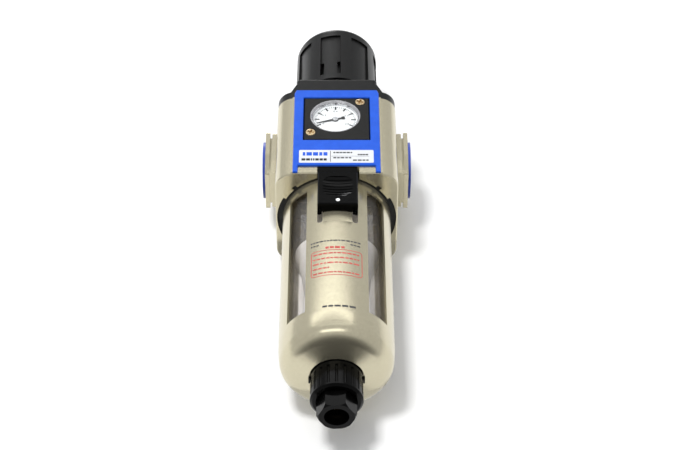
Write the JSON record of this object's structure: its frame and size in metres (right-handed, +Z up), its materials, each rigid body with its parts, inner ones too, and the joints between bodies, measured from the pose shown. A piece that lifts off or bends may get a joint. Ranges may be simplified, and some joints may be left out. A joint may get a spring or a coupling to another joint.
{
  "type": "pneumatic filter regulator",
  "caption": "Compressed-air filter regulator: flanged metal body with square gauge, adjusting knob, guarded filter bowl with latch and drain.",
  "frame": {"origin": "centre of the drain nozzle's mouth, the lowest point", "axes": "+Z up along the bowl and knob axis, +X from inlet to outlet, -Y the gauge side"},
  "size_m": [0.0828, 0.0691, 0.2861],
  "materials": {
    "champagne": "satin champagne paint on die-cast aluminium",
    "blue": "satin",
    "blue_ring": "satin",
    "black": "fine satin",
    "black_gloss": "semi gloss",
    "label": "printed film",
    "dial": "matt white",
    "needle": "matt black",
    "steel": "bright",
    "brass": "machined",
    "clear": "clear",
    "smoke": "smoked clear",
    "white": "translucent white",
    "sinter": "porous",
    "rubber": "matt",
    "alloy": "machined",
    "spring": "wire",
    "red_print": "printed ink",
    "grey_print": "printed ink"
  },
  "bodies": {
    "housing": {"body": "champagne", "bowl_guard": "champagne", "mouth_ring": "rubber", "inlet_ring": "blue_ring", "outlet_ring": "blue_ring", "front_cover": "blue", "label_strip": "label", "gauge_case": "black", "gauge_ring": "steel", "gauge_dial": "dial", "gauge_lens": "clear", "gauge_socket": "brass", "gauge_o_ring": "rubber", "bourdon_tube": "brass", "gauge_screws": "brass", "bonnet": "black", "bonnet_screws": "steel", "diaphragm": "rubber", "valve_seat": "brass", "valve_guide": "white", "guide_o_ring": "rubber", "valve_spring": "spring", "deflector": "white", "filter_element": "sinter", "baffle": "white", "bowl": "smoke", "bowl_o_ring": "rubber", "latch_spring": "spring", "drain_housing": "black", "drain_gasket": "rubber", "drain_nut": "black", "drain_seal": "rubber", "drain_spring": "spring"},
    "adjuster": {"adjusting_screw": "steel", "retaining_ring": "steel"},
    "knob": {"knob": "black"},
    "spring_carrier": {"spring_seat": "brass", "main_spring": "spring"},
    "valve": {"upper_plate": "alloy", "lower_plate": "alloy", "valve_poppet": "brass", "valve_pad": "rubber"},
    "latch": {"latch": "black_gloss", "latch_dot": "white"},
    "needle": {"gauge_needle": "needle", "needle_hub": "alloy", "gauge_arbor": "steel"},
    "drain_ring": {"drain_collar": "black_gloss"},
    "drain_valve": {"drain_nozzle": "black_gloss", "drain_stem": "brass"}
  },
  "joints": [
    {"name": "knob_turn", "type": "hinge", "parent": "housing", "child": "adjuster", "pos_m": [0, 0, 0.25], "axis": [0, 0, -1], "range_deg": [0, 1440]},
    {"name": "knob_pull", "type": "slide", "parent": "adjuster", "child": "knob", "axis": [0, 0, 1], "range_m": [0, 0.004]},
    {"name": "spring_seat_slide", "type": "slide", "parent": "housing", "child": "spring_carrier", "axis": [0, 0, -1], "range_m": [0, 0.008], "deforming": ["main_spring"]},
    {"name": "valve_slide", "type": "slide", "parent": "housing", "child": "valve", "axis": [0, 0, -1], "range_m": [0, 0.001], "stiffness_N_per_m": 2000, "springref_m": -0.002, "deforming": ["valve_spring", "diaphragm"]},
    {"name": "latch_slide", "type": "slide", "parent": "housing", "child": "latch", "axis": [0, 0, -1], "range_m": [0, 0.005], "stiffness_N_per_m": 500, "springref_m": -0.004, "deforming": ["latch_spring"]},
    {"name": "needle_turn", "type": "hinge", "parent": "housing", "child": "needle", "pos_m": [-0.0008, -0.031, 0.1898], "axis": [0, 1, 0], "range_deg": [0, 225], "stiffness_Nm_per_rad": 0.00002, "springref_deg": -17.19},
    {"name": "drain_turn", "type": "hinge", "parent": "housing", "child": "drain_ring", "pos_m": [0, 0, 0.02], "axis": [0, 0, 1], "range_deg": [0, 90]},
    {"name": "drain_push", "type": "slide", "parent": "drain_ring", "child": "drain_valve", "axis": [0, 0, 1], "range_m": [0, 0.002], "stiffness_N_per_m": 500, "springref_m": -0.004, "deforming": ["drain_spring"]}
  ],
  "couplings": [
    {"joint": "knob_turn", "follows": "spring_seat_slide", "rad_per_m": 3141.6}
  ]
}
